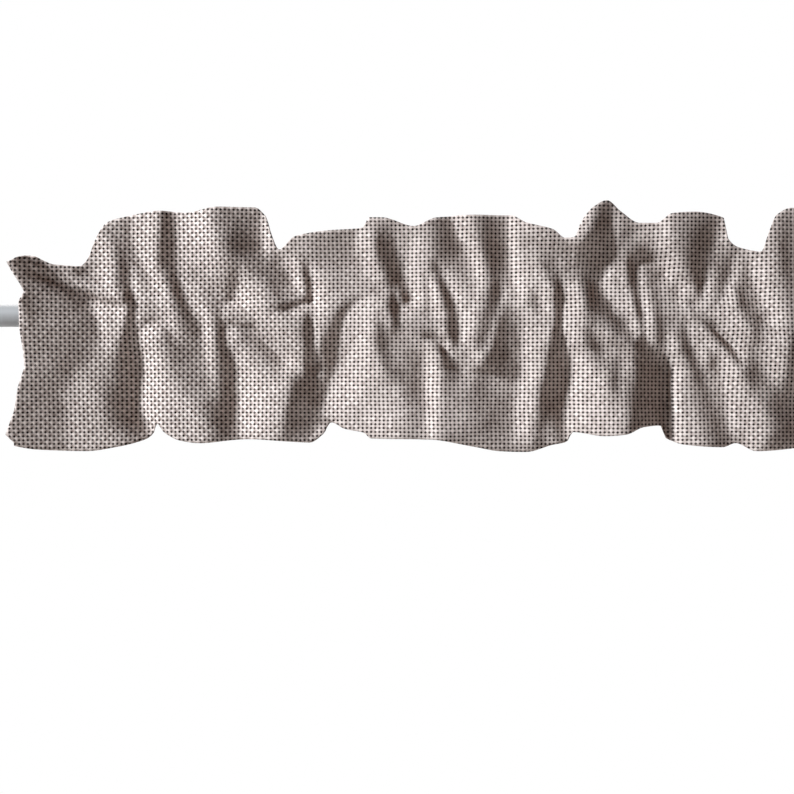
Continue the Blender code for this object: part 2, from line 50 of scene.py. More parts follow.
valance = {
    "left": 66,
    "right": 1212,
    "columnStep": 2.8,
    "frillRows": 27,
    "pocketRows": 22,
    "skirtRows": 35,
    "thickness": 1.5,
    "seamThickness": 3.0,
    "seamFade": 3,  # rows over which a seam's thickness fades away
    "seamInside": (-1.2, 1.4),  # from the upper and the lower seam to where the pocket's layers meet
    "pocketTop": 22,
    "pocketBottom": -42,
    "overRod": 3.8,  # from the rod to the outside of the cloth round it, at least
    "rodEase": 2,  # over what depth the folds ease on to the rod
    "backGather": 3.0,  # how far the crumples at the pocket's back stand out on average
    "backRound": 0.55,  # how full the pocket's back is towards the seams: fuller when smaller
    # the back's crumples, two waves: length over 2 pi, share of the whole, where it starts
    "gatherWaves": ((7.3, 0.6, 0), (4.1, 0.4, 1.7)),
    "skirtForward": 19,  # how far the plain cloth stands in front of the rod's centre line
    "frillTip": 4,  # how much further forward the frill's top edge stands
    "frillLean": (45, 120),  # heights between which it leans forward
    "pocketBulge": 8,
    "bulgeMiddle": 3,  # the height at which the pocket bulges most
    "bulgeHeight": 46,
    "bulgeEdge": 2.2,  # how abruptly the bulge ends
    "troughSharpness": 1.6,  # how abruptly a fold ends: a crease is narrower at its bottom
    "ridgeSharpness": 2.0,  # than a ridge is at its top
    "foldSteps": 6,  # pieces of a fold's line between two of its points
    "foldReach": 2.6,  # in spreads, past which a fold has faded away
    "sideReach": 55,  # how far into the cloth the shape of a side is felt
    # x, height of the top edge
    "topEdge": (
        (56, 62), (72, 66), (80, 71), (88, 73), (96, 72), (105, 67), (114, 63), (143, 61),
        (151, 68), (161, 94), (177, 117), (196, 123), (245, 131), (275, 129), (318, 136),
        (361, 136), (374, 125), (381, 103), (391, 82), (412, 99), (450, 106), (497, 110),
        (505, 123), (521, 123), (561, 112), (590, 123), (640, 126), (682, 126), (702, 116),
        (736, 107), (750, 96), (762, 97), (771, 117), (787, 136), (804, 144), (822, 130),
        (845, 116), (866, 116), (886, 128), (915, 130), (951, 123), (957, 97), (970, 86), (998, 80),
        (1007, 104), (1017, 126), (1036, 135), (1070, 132), (1110, 116), (1150, 124), (1190, 112),
        (1220, 92),
    ),
    # x, height of the hem
    "hem": (
        (48, -156), (66, -164), (95, -169), (150, -171), (186, -166), (222, -156), (231, -149),
        (237, -136), (246, -147), (268, -158), (292, -161), (350, -156), (430, -160), (447, -149),
        (457, -135), (474, -143), (499, -148), (507, -155), (580, -156), (635, -165), (670, -171),
        (702, -172), (736, -163), (754, -159), (761, -147), (800, -152), (826, -150), (850, -141),
        (875, -139), (882, -155), (902, -163), (950, -166), (967, -161), (992, -171), (1036, -168),
        (1080, -160), (1120, -166), (1170, -158), (1224, -165),
    ),
    # height, how far the side stands beyond left or right
    "leftSide": (
        (82, -3), (70, -9), (62, -7), (50, -1), (38, 7), (28, 12), (20, 8), (14, 5), (-15, 5),
        (-45, 9), (-66, 10), (-90, 2), (-120, -3), (-150, -14), (-160, -4),
    ),
    "rightSide": (
        (95, 4), (60, 0), (20, -4), (-30, 0), (-80, -3), (-130, 4), (-160, 9),
    ),
    # folds, each a run of points down or along the cloth: x, height, how far it stands forward (+) or
    # lies back (-), and how far it spreads to its left and to its right (below and above, where the
    # run goes to the right)
    "folds": (
        # flap at the left end and the plain cloth under it
        ((36, 84, 44, 20, 40), (46, 66, 42, 20, 44), (57, 48, 34, 18, 52), (66, 34, 23, 12, 62),
         (72, 20, 11, 8, 64), (76, 6, 4, 8, 50)),
        ((58, 80, 16, 18, 10), (82, 64, 15, 20, 9), (104, 49, 12, 20, 8), (124, 36, 8, 20, 8),
         (144, 25, 4, 14, 8)),
        ((118, -26, 5, 34, 40), (120, -60, 5, 34, 40), (122, -100, 4, 30, 32), (124, -150, 4, 30, 30)),
        ((132, 47, 3, 10, 10), (150, 38, 6, 10, 10), (172, 27, 6, 8, 8), (194, 18, 3, 7, 8)),
        ((78, 62, -3, 9, 9), (92, 53, -8, 10, 9), (109, 43, -10, 10, 9), (128, 32, -9, 9, 8),
         (146, 24, -7, 8, 7), (160, 18, -4, 7, 6)),
        ((96, 70, 4, 12, 10), (114, 62, 7, 11, 10), (132, 58, 7, 11, 12), (144, 58, 3, 9, 10)),
        ((136, 25, -4, 8, 7), (150, 19, -8, 9, 7), (163, 15, -9, 8, 7), (180, 12, -8, 8, 6),
         (197, 10, -5, 6, 6)),
        ((152, 12, -4, 14, 5), (162, 0, -7, 15, 5), (168, -16, -6, 15, 5), (170, -32, -3, 12, 6)),
        ((198, 24, 2, 12, 6), (201, 2, 3, 12, 5), (198, -22, 3, 14, 6), (192, -48, 4, 18, 8)),
        ((50, 4, 14, 30, 70), (48, -18, 26, 30, 80), (42, -50, 33, 30, 76), (36, -100, 32, 30, 70),
         (28, -150, 28, 30, 68)),
        ((178, 48, 3, 12, 10), (190, 30, 8, 14, 9), (206, 10, 4, 10, 7)),
        ((132, -72, -3, 14, 14), (150, -60, -2, 14, 14)),
        ((150, -88, 2, 12, 14), (165, -104, 5, 18, 16), (178, -118, 4, 18, 14)),
        ((118, -105, -4, 18, 18), (124, -130, -6, 20, 20), (126, -165, -5, 22, 22)),
        # frill, pocket and skirt, left to right
        ((168, 108, 4, 12, 10), (178, 90, 6, 14, 11), (185, 72, 8, 14, 12), (188, 52, 5, 12, 12)),
        ((206, 118, -3, 9, 8), (207, 98, -5, 10, 10), (212, 80, -4, 9, 8), (222, 58, -4, 8, 8),
         (232, 42, -5, 8, 7)),
        ((203, 55, -3, 6, 5), (208, 30, -4, 5, 5), (210, 8, -5, 5, 5), (208, -14, -6, 5, 7),
         (206, -36, -11, 7, 12), (211, -58, -18, 13, 20), (213, -90, -22, 19, 22),
         (212, -118, -23, 22, 22), (221, -137, -26, 22, 12), (230, -149, -24, 24, 12)),
        ((242, 130, 5, 12, 9), (242, 104, 6, 14, 9), (240, 84, 5, 13, 9), (238, 66, 4, 10, 9),
         (238, 54, 2, 8, 8)),
        ((260, 130, -5, 12, 24), (261, 104, -6, 12, 24), (261, 78, -7, 13, 24), (263, 58, -9, 11, 22),
         (267, 40, -10, 9, 18), (274, 22, -10, 9, 16), (285, 4, -10, 10, 14), (295, -14, -9, 11, 10),
         (299, -28, -4, 11, 9)),
        ((290, 42, -5, 14, 18), (312, 30, -4, 14, 14)),
        ((245, 48, 2, 8, 8), (254, 28, 4, 11, 9), (260, 8, 4, 12, 12), (264, -8, 3, 10, 12)),
        ((215, -34, -3, 6, 7), (222, -17, -5, 7, 7), (236, -9, -6, 7, 7), (251, -12, -5, 7, 7),
         (260, -26, -3, 7, 7)),
        ((236, -21, 4, 12, 12), (243, -34, 8, 18, 19), (248, -56, 8, 22, 24), (250, -80, 6, 26, 32),
         (250, -104, 3, 20, 26)),
        ((294, -30, -4, 24, 8), (299, -54, -7, 30, 8), (302, -84, -5, 32, 10)),
        ((258, -85, 3, 16, 14), (278, -105, 7, 18, 18), (292, -122, 8, 20, 20), (305, -145, 6, 22, 18)),
        ((304, 136, 9, 18, 26), (308, 114, 11, 18, 26), (316, 92, 13, 20, 28), (328, 72, 9, 22, 24),
         (350, 55, 4, 18, 14)),
        ((374, 134, -8, 30, 6), (371, 112, -11, 30, 6), (371, 88, -11, 26, 8)),
        ((368, 46, 2, 20, 12), (378, 28, 4, 24, 12), (388, 8, 4, 26, 9)),
        ((388, 78, -6, 18, 8), (400, 60, -12, 22, 8), (411, 42, -15, 26, 8), (418, 26, -10, 22, 9)),
        ((342, 52, -6, 12, 12), (338, 32, -11, 13, 16), (334, 15, -12, 12, 20), (326, -5, -10, 11, 18),
         (323, -22, -9, 8, 14), (325, -40, -10, 8, 14), (333, -56, -14, 12, 16), (336, -85, -17, 18, 22),
         (338, -110, -19, 20, 22), (338, -135, -16, 20, 22), (342, -160, -10, 18, 20)),
        ((340, -6, -3, 12, 8), (356, -20, -5, 12, 9), (380, -36, -6, 12, 9), (398, -50, -6, 12, 9),
         (413, -62, -4, 10, 8)),
        ((400, 0, 2, 22, 12), (410, -15, 2, 24, 12), (420, -40, 2, 20, 12)),
        ((428, 58, -6, 6, 8), (432, 38, -13, 7, 9), (434, 18, -12, 7, 9), (434, 0, -9, 7, 8),
         (433, -20, -8, 6, 7), (433, -45, -8, 6, 6), (434, -62, -9, 8, 8)),
        ((438, -56, -4, 8, 8), (438, -68, -9, 9, 10), (436, -84, -7, 12, 12)),
        ((384, 5, -5, 8, 5), (398, 7, -8, 9, 5), (414, 11, -9, 9, 5), (429, 17, -8, 8, 5)),
        ((412, 110, 4, 40, 16), (444, 114, 6, 44, 16), (474, 114, 5, 40, 16)),
        ((488, 108, -6, 48, 12), (487, 84, -9, 48, 12), (500, 62, -9, 48, 12), (512, 46, -6, 36, 10)),
        ((512, 106, 2, 12, 8), (512, 88, 6, 14, 8), (514, 68, 5, 14, 9), (520, 52, 3, 12, 9)),
        ((522, 24, 2, 14, 12), (513, 4, 6, 16, 13), (510, -20, 9, 18, 14), (511, -45, 9, 18, 14),
         (521, -66, 9, 14, 12), (534, -78, 3, 10, 14)),
        ((500, 23, -3, 5, 5), (486, 11, -6, 7, 6), (474, -2, -8, 8, 9), (467, -20, -10, 10, 14),
         (464, -40, -13, 14, 18), (461, -62, -16, 18, 22), (456, -84, -18, 20, 24),
         (448, -104, -18, 22, 24), (440, -126, -15, 22, 22), (437, -146, -10, 20, 20)),
        ((402, -72, 4, 20, 12), (404, -92, 8, 28, 12), (402, -112, 9, 30, 12), (396, -135, 8, 28, 14),
         (390, -158, 5, 24, 16)),
        ((447, -132, -7, 8, 8), (458, -137, -10, 8, 8), (471, -142, -6, 8, 8)),
        ((524, -66, 2, 20, 20), (534, -92, 6, 34, 30), (542, -120, 8, 36, 30), (548, -150, 12, 34, 28)),
        ((576, -37, 4, 10, 8), (588, -42, 8, 12, 9), (597, -54, 12, 14, 12), (598, -65, 13, 16, 20),
         (597, -90, 13, 18, 30), (597, -120, 13, 20, 40), (597, -155, 16, 24, 46)),
        ((573, -50, -4, 14, 7), (577, -75, -7, 18, 6), (579, -100, -8, 20, 6), (578, -125, -6, 20, 6),
         (576, -147, -3, 16, 8)),
        ((536, 40, -3, 7, 6), (538, 22, -4, 6, 7), (541, 0, -4, 6, 7), (539, -24, -3, 6, 6)),
        ((540, 50, -3, 8, 8), (547, 34, -5, 8, 8), (553, 22, -3, 7, 7)),
        ((538, 112, -2, 12, 12), (538, 94, -7, 12, 14), (541, 72, -10, 13, 16), (547, 52, -12, 14, 14),
         (554, 36, -11, 12, 12), (560, 20, -7, 9, 9)),
        ((580, 114, 4, 14, 24), (584, 92, 5, 16, 26), (588, 70, 3, 12, 20)),
        ((578, 44, -4, 5, 7), (581, 25, -6, 7, 8), (584, 5, -4, 7, 7)),
        ((611, 124, -10, 24, 5), (620, 100, -12, 27, 6), (630, 80, -12, 29, 7), (637, 62, -8, 26, 8)),
        ((592, 60, -5, 8, 6), (601, 42, -8, 9, 8), (611, 20, -10, 12, 8), (617, 0, -10, 14, 8),
         (619, -20, -8, 14, 8), (614, -42, -6, 10, 8), (606, -62, -5, 9, 8)),
        ((588, 42, 3, 8, 8), (596, 20, 5, 9, 10), (600, 0, 5, 10, 12), (602, -18, 3, 10, 10)),
        ((577, -29, -5, 4, 6), (588, -31, -10, 4, 6), (598, -36, -11, 5, 6), (603, -48, -7, 6, 6)),
        ((636, 124, 6, 14, 20), (640, 102, 8, 13, 20), (647, 78, 7, 12, 16), (652, 55, 5, 10, 12),
         (653, 35, 4, 10, 12), (647, 15, 4, 10, 14), (640, -10, 4, 9, 14), (638, -35, 4, 9, 12),
         (646, -55, 5, 10, 10)),
        ((682, 124, -8, 34, 5), (682, 100, -10, 34, 5), (683, 76, -12, 34, 6), (686, 52, -12, 31, 7),
         (690, 34, -9, 20, 7)),
        ((672, 28, -5, 14, 8), (668, 8, -2, 12, 8)),
        ((681, 28, 3, 6, 8), (675, 5, 4, 7, 8), (668, -18, 5, 8, 9), (661, -40, 6, 8, 10),
         (652, -57, 6, 10, 8)),
        ((690, 5, -4, 12, 8), (694, -20, -7, 13, 9), (697, -45, -9, 16, 10), (697, -68, -9, 18, 10),
         (693, -90, -8, 22, 12), (688, -120, -8, 24, 14), (686, -145, -7, 24, 14)),
        ((611, -50, -4, 6, 9), (617, -62, -8, 9, 10), (624, -74, -6, 13, 9)),
        ((604, -66, -5, 22, 9), (628, -72, -8, 26, 10), (650, -76, -8, 26, 10), (674, -80, -5, 22, 10)),
        ((704, 118, 5, 14, 14), (716, 112, 11, 18, 15), (738, 102, 13, 18, 16), (762, 96, 12, 14, 18),
         (785, 96, 8, 14, 16)),
        ((715, 68, 3, 12, 10), (725, 50, 6, 18, 9), (732, 32, 6, 16, 8), (737, 15, 4, 12, 6),
         (738, -5, 2, 8, 6)),
        ((718, 22, -5, 7, 7), (722, 8, -5, 9, 7)),
        ((741, 62, -4, 10, 7), (747, 40, -6, 9, 6), (748, 15, -5, 7, 6), (747, -10, -5, 6, 6),
         (746, -30, -7, 7, 8), (751, -55, -13, 13, 10), (754, -80, -17, 20, 13), (753, -105, -19, 26, 14),
         (751, -130, -16, 26, 12), (753, -155, -9, 22, 12)),
        ((735, -22, 6, 12, 6), (731, -45, 4, 14, 8), (724, -75, 4, 14, 10), (718, -105, 6, 16, 10),
         (714, -130, 7, 16, 12), (712, -155, 5, 16, 14)),
        ((770, 42, 4, 12, 12), (773, 22, 8, 14, 14), (772, 0, 7, 14, 14), (772, -28, 8, 14, 16)),
        ((795, -60, 6, 24, 14), (800, -85, 10, 28, 16), (798, -115, 9, 30, 16), (796, -148, 9, 30, 18)),
        ((839, -46, 6, 12, 12), (841, -75, 10, 18, 16), (839, -100, 13, 24, 20), (836, -125, 15, 26, 24),
         (834, -152, 14, 26, 26)),
        ((820, -62, -3, 8, 8), (816, -90, -3, 8, 9)),
        ((852, -52, -3, 12, 12), (868, -62, -5, 14, 14)),
        ((856, -36, -8, 16, 6), (874, -50, -16, 26, 6), (883, -64, -26, 30, 6), (884, -90, -31, 30, 6),
         (884, -118, -31, 30, 6), (883, -148, -26, 30, 8)),
        ((842, -27, 3, 6, 12), (862, -37, 6, 5, 14), (884, -50, 6, 5, 14)),
        ((790, 142, 8, 14, 18), (783, 118, 12, 14, 24), (776, 98, 8, 14, 24), (770, 80, 4, 12, 20)),
        ((810, 122, -4, 18, 8), (808, 95, -7, 24, 6), (806, 70, -10, 24, 7), (801, 46, -13, 20, 8),
         (802, 32, -13, 18, 10), (812, 14, -11, 14, 8), (826, -4, -10, 11, 7), (837, -19, -6, 8, 6)),
        ((770, 24, 3, 14, 16), (780, 4, 6, 14, 18), (795, -13, 8, 14, 16), (812, -27, 8, 12, 13),
         (828, -35, 6, 10, 10), (840, -42, 5, 12, 7)),
        ((786, -25, -3, 10, 10), (797, -45, -5, 12, 12), (806, -58, -3, 10, 10)),
        ((826, 75, 3, 10, 8), (828, 50, 4, 10, 8), (830, 30, 2, 9, 7), (838, 5, 4, 8, 6)),
        ((841, 68, -4, 10, 6), (844, 46, -7, 10, 6), (847, 26, -7, 8, 6), (850, 6, -7, 6, 6),
         (852, -14, -6, 6, 6), (854, -30, -4, 5, 6)),
        ((846, 66, -4, 8, 8), (862, 72, -9, 9, 9), (878, 67, -13, 12, 8), (882, 53, -10, 12, 7)),
        ((862, 48, 2, 12, 8), (863, 25, 3, 12, 10), (862, 0, 4, 10, 12), (866, -18, 4, 9, 12)),
        ((893, 46, -5, 16, 7), (896, 28, -7, 18, 7), (894, 8, -6, 18, 7), (888, -12, -4, 16, 7)),
        ((884, 118, 6, 12, 30), (884, 100, 10, 12, 40), (885, 80, 11, 14, 44), (894, 58, 8, 16, 30)),
        ((924, 58, -5, 9, 14), (927, 40, -9, 10, 10), (927, 24, -7, 8, 6)),
        ((916, 12, -6, 7, 7), (928, -2, -13, 9, 7), (942, -17, -15, 9, 7), (956, -31, -15, 9, 7),
         (967, -45, -13, 9, 6), (971, -60, -6, 8, 6)),
        ((914, 2, 3, 8, 6), (930, -16, 5, 9, 7), (948, -36, 6, 10, 8), (962, -54, 9, 12, 9),
         (970, -72, 10, 14, 12), (980, -95, 8, 16, 14), (995, -120, 8, 18, 18), (1003, -150, 8, 20, 20)),
        ((948, 118, -5, 24, 6), (938, 98, -7, 24, 24), (930, 78, -6, 20, 30), (928, 60, -4, 14, 26)),
        ((974, 82, -6, 36, 14), (984, 64, -11, 40, 10), (990, 44, -15, 34, 9), (996, 24, -15, 24, 8),
         (1002, 6, -12, 14, 7), (1004, -8, -6, 10, 7)),
        ((965, 10, 3, 10, 10), (978, -12, 6, 12, 10), (985, -30, 4, 10, 10)),
        ((985, -55, -3, 12, 10), (998, -66, -6, 14, 12), (1008, -78, -5, 14, 10)),
        ((1018, 115, 3, 14, 14), (1016, 85, 5, 16, 14), (1018, 60, 6, 16, 16), (1022, 30, 4, 18, 16),
         (1030, 0, 4, 16, 16), (1032, -40, 10, 20, 20), (1028, -65, 6, 18, 18)),
        ((947, -58, -4, 9, 7), (951, -82, -6, 24, 8), (955, -108, -8, 30, 8), (958, -135, -8, 32, 8),
         (958, -150, -5, 28, 9)),
        ((884, -20, 2, 8, 8), (895, -38, 3, 9, 8), (903, -56, 3, 10, 8), (912, -75, 2, 10, 9)),
        ((901, 0, -8, 12, 6), (906, -18, -8, 13, 7), (912, -38, -5, 10, 7), (922, -60, -4, 12, 8),
         (932, -84, -4, 18, 10), (938, -110, -3, 20, 12)),
        ((930, -45, 3, 8, 6), (932, -62, 3, 7, 5)),
        ((914, -105, 3, 14, 16), (922, -130, 7, 20, 22), (928, -158, 11, 24, 24)),
        ((966, -158, -4, 8, 8), (976, -161, -7, 8, 8), (988, -165, -4, 8, 8)),
        # broad swells and hollows that the folds lie on
        ((296, 95, 4, 20, 20), (320, 80, 5, 24, 24), (345, 62, 6, 18, 18)),
        ((742, 52, 4, 10, 10), (742, 32, 7, 12, 10)),
        ((782, -36, 5, 14, 14), (784, -60, 6, 16, 16), (796, -90, 4, 16, 16)),
        ((806, -30, 4, 12, 12), (824, -34, 4, 10, 10)),
        ((812, -60, 7, 14, 14), (816, -88, 10, 18, 18), (820, -120, 9, 22, 22), (822, -150, 11, 24, 24)),
        ((975, -58, 5, 16, 16), (988, -72, 8, 18, 18), (1004, -95, 7, 20, 20), (1014, -125, 6, 22, 22)),
        ((992, -22, 4, 14, 14), (1010, -32, 7, 16, 18), (1026, -48, 9, 20, 24), (1036, -72, 9, 22, 26)),
        ((1000, -160, 4, 16, 16), (1025, -150, 6, 20, 20)),
        ((525, -150, 6, 22, 26), (556, -150, 9, 24, 28), (586, -152, 9, 24, 28), (610, -150, 5, 22, 24)),
        ((552, -100, 4, 16, 14), (566, -115, 5, 18, 16)),
        ((600, -26, 4, 8, 8), (610, -38, 7, 8, 9), (614, -52, 4, 8, 10)),
        ((618, -60, 3, 14, 14), (632, -80, 8, 18, 18), (636, -110, 4, 22, 22), (646, -150, 9, 26, 26),
         (672, -165, 10, 26, 26), (700, -165, 5, 20, 20)),
        ((722, -118, 3, 12, 12), (736, -132, 6, 14, 14), (742, -160, 6, 14, 14)),
        ((446, 16, -2, 14, 12), (446, -8, -3, 16, 14), (450, -35, -2, 14, 12)),
        ((296, 42, -6, 16, 16), (314, 26, -11, 18, 18), (336, 8, -12, 18, 18), (358, -14, -13, 20, 20),
         (380, -38, -12, 18, 18), (398, -60, -12, 14, 16)),
        ((386, 70, -4, 10, 10), (402, 66, -4, 10, 10), (410, 50, -2, 8, 8)),
        ((498, 0, -3, 12, 14), (490, -18, -5, 16, 18), (482, -52, -5, 16, 20), (474, -98, -4, 18, 20)),
        ((429, -40, 2, 6, 7), (427, -50, 2, 6, 7)),
        ((424, -112, 3, 12, 12), (444, -128, 6, 12, 10)),
        ((528, 6, 4, 9, 9), (535, -8, 7, 10, 9), (538, -22, 3, 9, 9)),
        ((520, 28, -6, 10, 10), (534, 24, -4, 8, 8), (548, 10, -8, 9, 9), (562, 30, -7, 10, 10),
         (556, 56, -4, 10, 10), (556, 92, -4, 10, 10)),
        ((820, 74, -6, 12, 14), (820, 50, -9, 14, 16), (824, 30, -10, 18, 14), (832, 0, -6, 16, 12)),
        ((838, 98, -5, 14, 16), (852, 88, -6, 16, 16), (862, 62, -12, 22, 24), (866, 34, -15, 24, 26),
         (872, 5, -9, 20, 22), (878, -28, -5, 14, 14)),
        ((900, 34, -9, 16, 18), (912, 14, -9, 14, 14), (920, -18, -7, 14, 14), (930, -40, -4, 12, 12)),
        ((938, 20, -4, 14, 16), (940, 4, -5, 14, 16), (952, -12, -4, 12, 14)),
        ((968, 34, -4, 12, 12), (980, 26, -4, 12, 12)),
        ((1006, 28, -5, 12, 12), (1010, 8, -7, 13, 14), (1014, -10, -3, 12, 12)),
        ((552, 16, -5, 12, 14), (572, 12, -6, 14, 14), (594, 2, -5, 12, 12)),
        ((680, 18, -7, 12, 12), (673, -18, -8, 12, 16), (674, -40, -9, 16, 16), (690, -62, -4, 14, 18),
         (706, -72, -5, 12, 16)),
        ((700, 0, -5, 12, 12), (704, -36, -4, 10, 12)),
        ((762, 54, -5, 14, 14), (778, 48, -8, 14, 14), (792, 36, -6, 12, 12)),
        ((760, -56, -5, 8, 10), (764, -100, -4, 8, 12), (766, -126, -5, 8, 14)),
        # the stretch at the right end
        ((1062, 120, -5, 30, 12), (1060, 60, -6, 34, 12), (1064, 10, -6, 30, 10), (1068, -40, -6, 32, 10),
         (1070, -90, -14, 42, 14), (1074, -150, -12, 44, 18)),
        ((1098, 118, 7, 18, 16), (1092, 70, 9, 18, 16), (1096, 20, 6, 16, 14), (1104, -30, 6, 16, 14),
         (1108, -90, 9, 22, 18), (1112, -150, 9, 24, 20)),
        ((1128, 110, -6, 14, 12), (1126, 60, -10, 14, 12), (1136, 15, -9, 10, 10),
         (1142, -30, -9, 10, 10), (1148, -80, -13, 20, 12), (1150, -140, -12, 20, 12)),
        ((1160, 118, 6, 14, 12), (1162, 70, 7, 14, 14), (1168, 20, 5, 14, 12), (1172, -40, 6, 16, 16),
         (1180, -100, 8, 20, 18), (1182, -150, 8, 20, 18)),
        ((1192, 100, -5, 12, 12), (1194, 50, -7, 12, 10), (1196, 0, -5, 10, 10), (1206, -60, -6, 14, 14),
         (1212, -130, -6, 14, 14)),
        ((1080, 35, -4, 7, 7), (1088, 0, -5, 7, 7), (1100, -35, -3, 7, 7)),
        ((1112, 28, 3, 9, 8), (1122, -8, 4, 9, 8)),
        # shallow creases: the right frill, the corner over the rod, the flap's lower edge
        ((950, 114, -4, 22, 8), (944, 95, -4, 20, 9), (936, 78, -2, 16, 12)),
        ((966, 74, -4, 18, 7), (963, 56, -6, 18, 6), (958, 40, -7, 18, 6), (955, 28, -7, 18, 6),
         (951, 19, -4, 16, 6)),
        ((962, 34, 3, 6, 8), (968, 18, 3, 6, 10)),
        ((63, 16, 5, 16, 15), (61, 2, 8, 18, 16), (62, -14, 6, 18, 16), (64, -30, 3, 16, 16)),
        ((100, 52, -4, 9, 7), (116, 41, -5, 9, 7), (134, 31, -5, 9, 7), (152, 23, -4, 9, 7),
         (168, 18, -2, 8, 7)),
    ),
}

rodReach = rodRadius + valance["overRod"]
seamTop = valance["frillRows"]  # the two stitched rows
seamLow = seamTop + valance["pocketRows"]


def ease(low, high, value):
    t = np.clip((value - low) / (high - low), 0, 1)
    return t * t * (3 - 2 * t)


def alongTable(table, at):
    table = np.array(sorted(table), float)
    return np.interp(at, table[:, 0], table[:, 1])


def smoothAlong(table, at):
    # a smooth line through the table's points that never overshoots them
    place, value = np.array(table, float).T
    step = np.diff(place)
    slope = np.diff(value) / step
    tangent = np.zeros_like(value)
    both = slope[:-1] * slope[1:]
    tangent[1:-1] = np.where(both > 0, 2 * both / np.where(both > 0, slope[:-1] + slope[1:], 1), 0)
    k = np.clip(np.searchsorted(place, at) - 1, 0, len(step) - 1)
    t = np.clip((at - place[k]) / step[k], 0, 1)
    start = (1 + 2 * t) * (1 - t) ** 2 * value[k] + t * (1 - t) ** 2 * step[k] * tangent[k]
    return start + t ** 2 * (3 - 2 * t) * value[k + 1] - t ** 2 * (1 - t) * step[k] * tangent[k + 1]


def foldLine(fold):
    # a smooth line through the fold's points, its height and spread carried along
    points = np.array(fold, float)
    points = np.vstack((2 * points[0] - points[1], points, 2 * points[-1] - points[-2]))
    t = (np.arange(valance["foldSteps"]) / valance["foldSteps"])[:, None]
    pieces = []
    for a, b, c, d in zip(points, points[1:], points[2:], points[3:]):
        pieces.append(b + 0.5 * (c - a) * t + (a - 2.5 * b + 2 * c - 0.5 * d) * t ** 2
                      + 0.5 * (3 * b - a - 3 * c + d) * t ** 3)
    return np.vstack(pieces + [points[-2:-1]])


def foldForward(fold, x, height):
    # the fold fades with the distance from its line, at its own rate on either side
    line = foldLine(fold)
    ridge = sum(point[2] for point in fold) > 0
    sharpness = valance["ridgeSharpness" if ridge else "troughSharpness"]
    reach = valance["foldReach"] * line[:, 3:].max()
    near = ((x > line[:, 0].min() - reach) & (x < line[:, 0].max() + reach)
            & (height > line[:, 1].min() - reach) & (height < line[:, 1].max() + reach))
    nearX, nearZ = x[near], height[near]
    strongest = np.zeros_like(nearX)
    for start, stop in zip(line, line[1:]):
        stepX, stepZ = stop[0] - start[0], stop[1] - start[1]
        length = math.hypot(stepX, stepZ)
        share = ((nearX - start[0]) * stepX + (nearZ - start[1]) * stepZ) / length ** 2
        share = np.clip(share, 0, 1)
        atX, atZ, size, left, right = (start[k] + (stop[k] - start[k]) * share for k in range(5))
        across = ((nearZ - atZ) * stepX - (nearX - atX) * stepZ) / length
        along = ((nearX - atX) * stepX + (nearZ - atZ) * stepZ) / length
        away = np.hypot(across / np.where(across < 0, left, right), 2 * along / (left + right))
        strongest = np.maximum(strongest, np.abs(size) * np.exp(-away ** sharpness))
    forward = np.zeros_like(x)
    forward[near] = strongest if ridge else -strongest
    return forward


def soften(surface):
    # one light rounding of every crest and valley, the edges left where they are
    surface = surface.copy()
    surface[:, 1:-1] = surface[:, 1:-1] / 2 + (surface[:, :-2] + surface[:, 2:]) / 4
    surface[1:-1] = surface[1:-1] / 2 + (surface[:-2] + surface[2:]) / 4
    return surface


def clothForward(x, height):
    # how far the front of the cloth stands towards the viewer, the folds one on another
    v = valance
    fromMiddle = np.abs(height - v["bulgeMiddle"]) / v["bulgeHeight"]
    forward = v["skirtForward"] + v["frillTip"] * ease(*v["frillLean"], height)
    forward += v["pocketBulge"] * np.exp(-fromMiddle ** v["bulgeEdge"])
    for fold in v["folds"]:
        forward += foldForward(fold, x, height)
    forward = soften(forward)
    # round the rod the cloth stays off it by its thickness and a little air
    nearest = np.sqrt(np.clip(rodReach ** 2 - height ** 2, 0, None))
    spare = forward - nearest
    heldOff = nearest + 0.5 * (spare + np.sqrt(spare ** 2 + v["rodEase"] ** 2))
    return np.where(np.abs(height) < rodReach, heldOff, forward)


def clothGrid():
    # level rows in the pocket; above and below it they turn into the top edge and the hem
    v = valance
    count = round((v["right"] - v["left"]) / v["columnStep"])
    columns = np.linspace(v["left"], v["right"], count + 1)
    top = smoothAlong(v["topEdge"], columns)
    hem = smoothAlong(v["hem"], columns)
    heights = [top + (v["pocketTop"] - top) * k / v["frillRows"] for k in range(v["frillRows"])]
    for k in range(v["pocketRows"] + 1):
        level = v["pocketTop"] + (v["pocketBottom"] - v["pocketTop"]) * k / v["pocketRows"]
        heights.append(np.full_like(columns, level))
    for k in range(1, v["skirtRows"] + 1):
        heights.append(v["pocketBottom"] + (hem - v["pocketBottom"]) * k / v["skirtRows"])
    heights = np.array(heights)
    x = np.tile(columns, (len(heights), 1))
    x += np.exp(-((columns - v["left"]) / v["sideReach"]) ** 2) * alongTable(v["leftSide"], heights)
    x += np.exp(-((v["right"] - columns) / v["sideReach"]) ** 2) * alongTable(v["rightSide"], heights)
    return columns, x, heights


def gridNormals(points):
    normals = np.cross(np.gradient(points, axis=1), np.gradient(points, axis=0))
    normals /= np.linalg.norm(normals, axis=2, keepdims=True)
    return -normals if normals[..., 1].mean() > 0 else normals


def pocketBack(columns, height, upper, lower):
    # how far forward one row of the pocket's back stands, mostly behind the rod and so below zero
    v = valance
    gather = 1 + sum(size * np.sin(columns / length + start) for length, size, start in v["gatherWaves"])
    share = height / v["pocketTop"] if height >= 0 else height / v["pocketBottom"]
    seam = upper if height >= 0 else lower
    roundness = max(1 - share ** 2, 0) ** v["backRound"]
    behind = -(rodReach + v["backGather"] * gather) * roundness + seam * share ** 2
    return np.minimum(behind, -math.sqrt(max(rodReach ** 2 - height ** 2, 0)))


